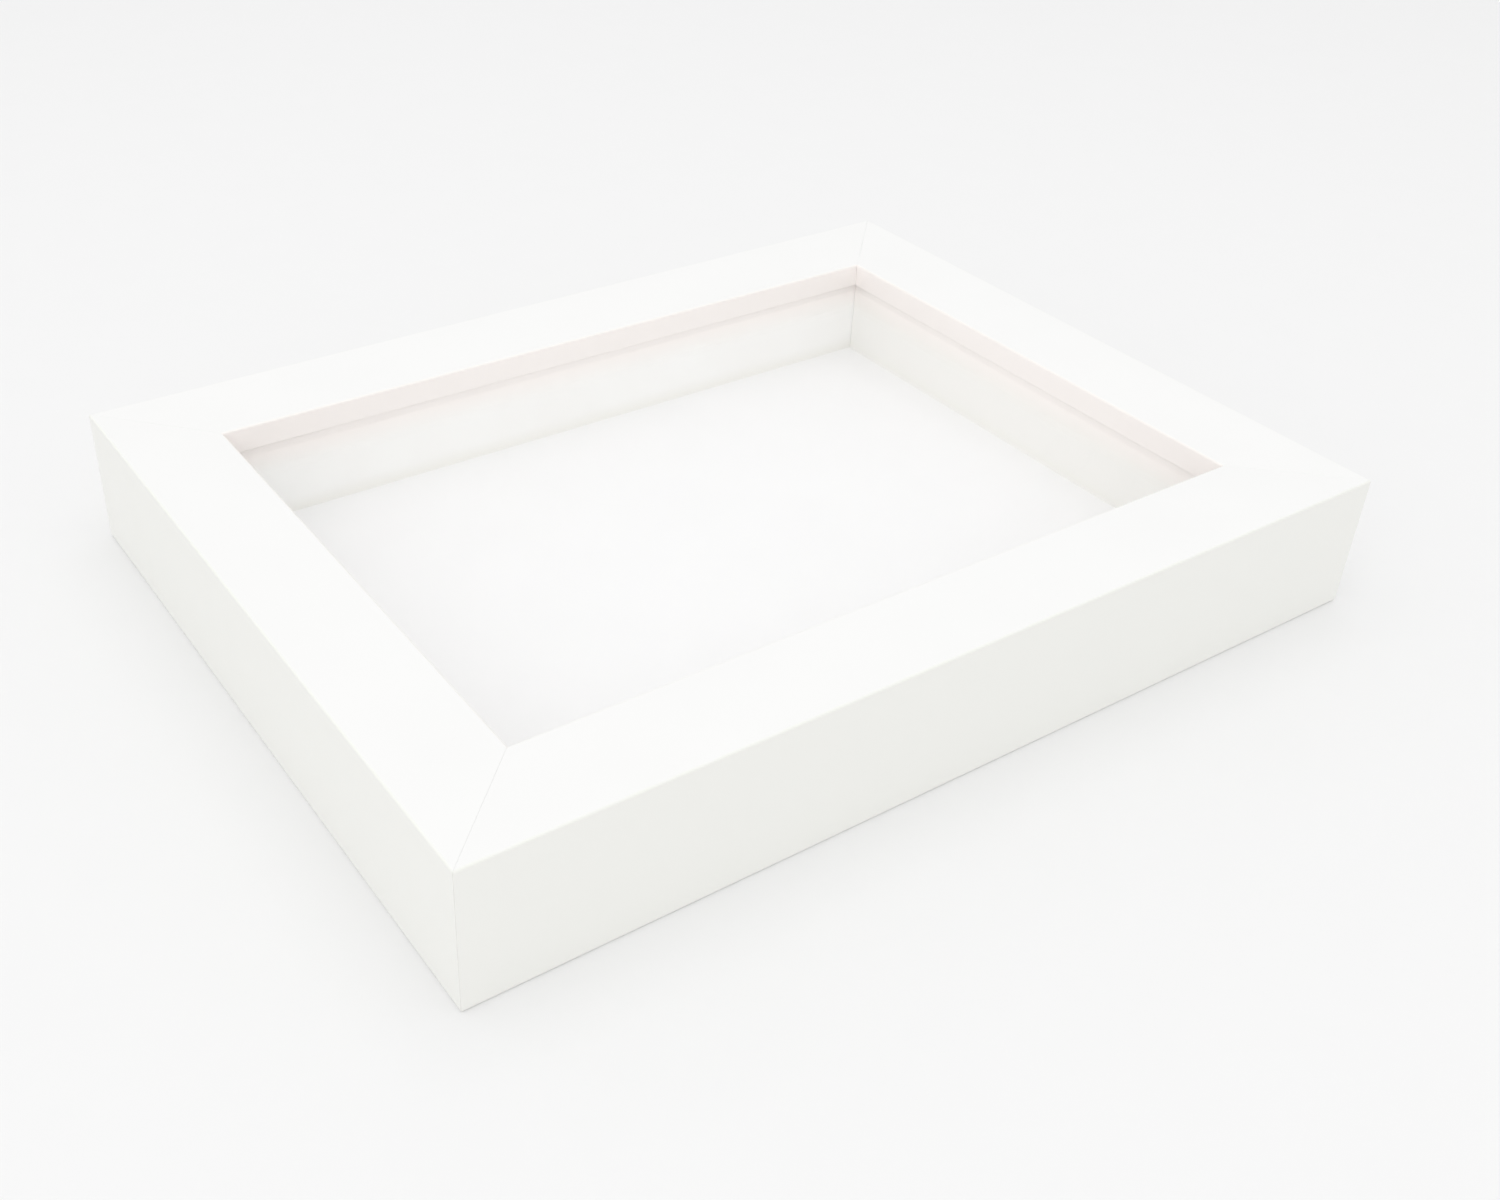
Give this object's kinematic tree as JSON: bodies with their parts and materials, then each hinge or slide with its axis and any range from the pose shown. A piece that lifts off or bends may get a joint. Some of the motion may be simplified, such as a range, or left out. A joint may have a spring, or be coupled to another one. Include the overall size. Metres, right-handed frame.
{
  "type": "shadow box",
  "caption": "Shallow white mitred picture-frame box with a deep rabbet, glass, white spacers and display board, and a back panel held by turn buttons.",
  "frame": {"origin": "middle of the plane that the rails' backs rest on, with the box lying on its back", "axes": "+X along the long side, +Y along the short side towards the top rail, +Z out of the face towards the viewer"},
  "size_m": [0.2118, 0.161, 0.03],
  "materials": {
    "white_paint": "satin white paint over wood",
    "clear_glass": "clear float glass",
    "white_board": "matt white mount board",
    "white_spacer": "matt white painted strip",
    "brown_hardboard": "smooth brown hardboard",
    "zinc_steel": "zinc-plated steel",
    "brassed_steel": "brass-plated steel"
  },
  "bodies": {
    "frame_box": {"bottom_rail": "white_paint", "right_rail": "white_paint", "top_rail": "white_paint", "left_rail": "white_paint", "v_nail_outer_bottom_left": "zinc_steel", "v_nail_outer_bottom_right": "zinc_steel", "v_nail_outer_top_left": "zinc_steel", "v_nail_outer_top_right": "zinc_steel", "v_nail_inner_bottom_left": "zinc_steel", "v_nail_inner_bottom_right": "zinc_steel", "v_nail_inner_top_left": "zinc_steel", "v_nail_inner_top_right": "zinc_steel", "glass_pane": "clear_glass", "bottom_spacer": "white_spacer", "right_spacer": "white_spacer", "top_spacer": "white_spacer", "left_spacer": "white_spacer", "display_board": "white_board", "back_panel": "brown_hardboard", "button_screw_bottom_left": "zinc_steel", "button_screw_bottom_right": "zinc_steel", "button_screw_top_left": "zinc_steel", "button_screw_top_right": "zinc_steel", "sawtooth_hanger_landscape": "brassed_steel", "sawtooth_hanger_portrait": "brassed_steel", "hanger_nail_landscape_1": "brassed_steel", "hanger_nail_landscape_2": "brassed_steel", "hanger_nail_portrait_1": "brassed_steel", "hanger_nail_portrait_2": "brassed_steel"},
    "bottom_left_button": {"turn_button_bottom_left": "zinc_steel"},
    "bottom_right_button": {"turn_button_bottom_right": "zinc_steel"},
    "top_left_button": {"turn_button_top_left": "zinc_steel"},
    "top_right_button": {"turn_button_top_right": "zinc_steel"}
  },
  "joints": [
    {"name": "bottom_left_button_turn", "type": "hinge", "parent": "frame_box", "child": "bottom_left_button", "pos_m": [-0.04485, -0.0694, 0.0013], "axis": [0, 0, 1], "range_deg": [-90, 90]},
    {"name": "bottom_right_button_turn", "type": "hinge", "parent": "frame_box", "child": "bottom_right_button", "pos_m": [0.04485, -0.0694, 0.0013], "axis": [0, 0, 1], "range_deg": [-90, 90]},
    {"name": "top_left_button_turn", "type": "hinge", "parent": "frame_box", "child": "top_left_button", "pos_m": [-0.04485, 0.0694, 0.0013], "axis": [0, 0, 1], "range_deg": [-90, 90]},
    {"name": "top_right_button_turn", "type": "hinge", "parent": "frame_box", "child": "top_right_button", "pos_m": [0.04485, 0.0694, 0.0013], "axis": [0, 0, 1], "range_deg": [-90, 90]}
  ]
}
